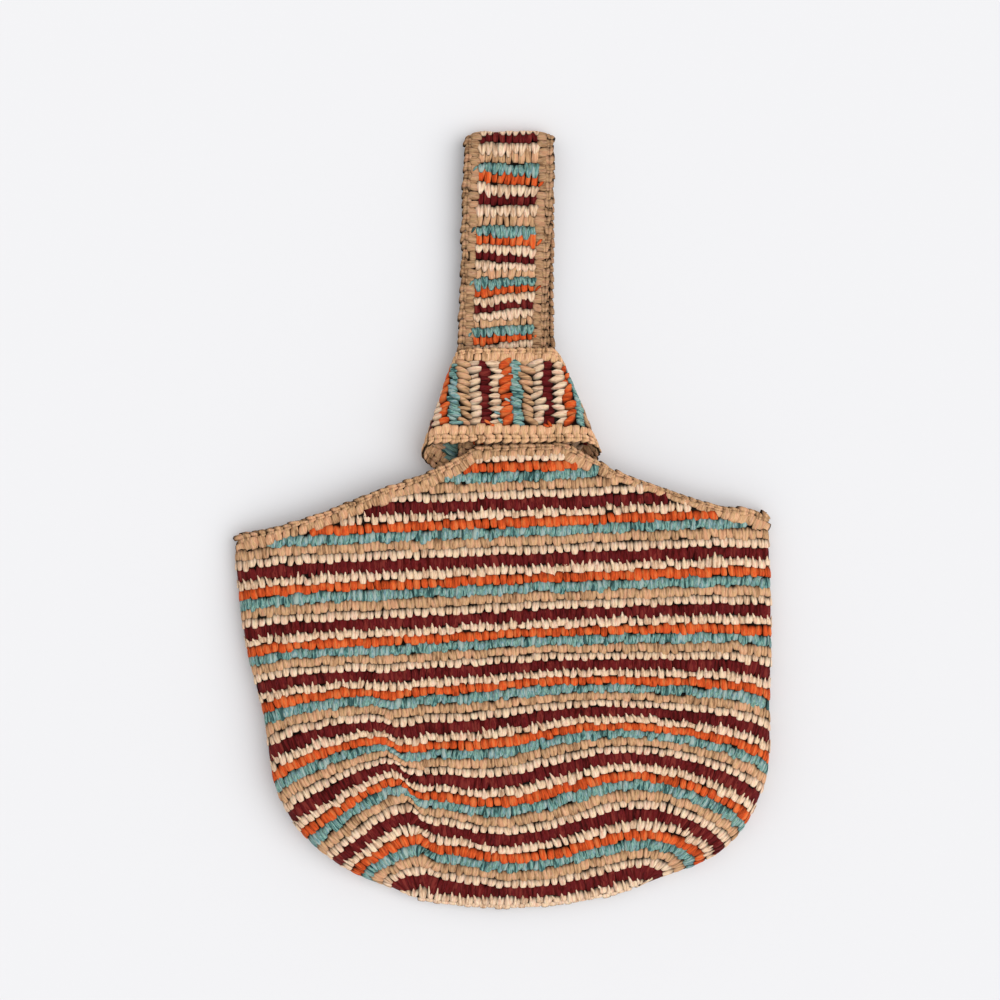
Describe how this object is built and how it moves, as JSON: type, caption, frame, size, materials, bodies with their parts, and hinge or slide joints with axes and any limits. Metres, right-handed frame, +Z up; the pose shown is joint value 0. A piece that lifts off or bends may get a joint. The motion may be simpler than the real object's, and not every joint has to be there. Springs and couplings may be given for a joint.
{
  "type": "raffia knot bag",
  "caption": "Crocheted raffia knot bag lying flat, a striped pouch with two pointed flaps, closed by a long folded strap pulled through a short loop.",
  "frame": {"origin": "under the middle of the bag's outline, on the surface that it lies on", "axes": "+Y from the pouch's base towards the strap's fold, +Z up out of the front, +X to the right seen from the front"},
  "size_m": [0.3228, 0.4648, 0.0365],
  "materials": {
    "raffia_cream": "matte crocheted raffia",
    "raffia_tan": "matte crocheted raffia",
    "raffia_maroon": "matte crocheted raffia",
    "raffia_orange": "matte crocheted raffia",
    "raffia_teal": "matte crocheted raffia"
  },
  "bodies": {
    "root": {"pouch": "raffia_cream", "front_rim_edging": "raffia_tan", "back_rim_edging": "raffia_tan", "long_strap": "raffia_cream", "strap_edging_left": "raffia_tan", "strap_edging_right": "raffia_tan", "short_loop": "raffia_cream", "loop_edging_bottom": "raffia_tan", "loop_edging_top": "raffia_tan"}
  },
  "joints": []
}
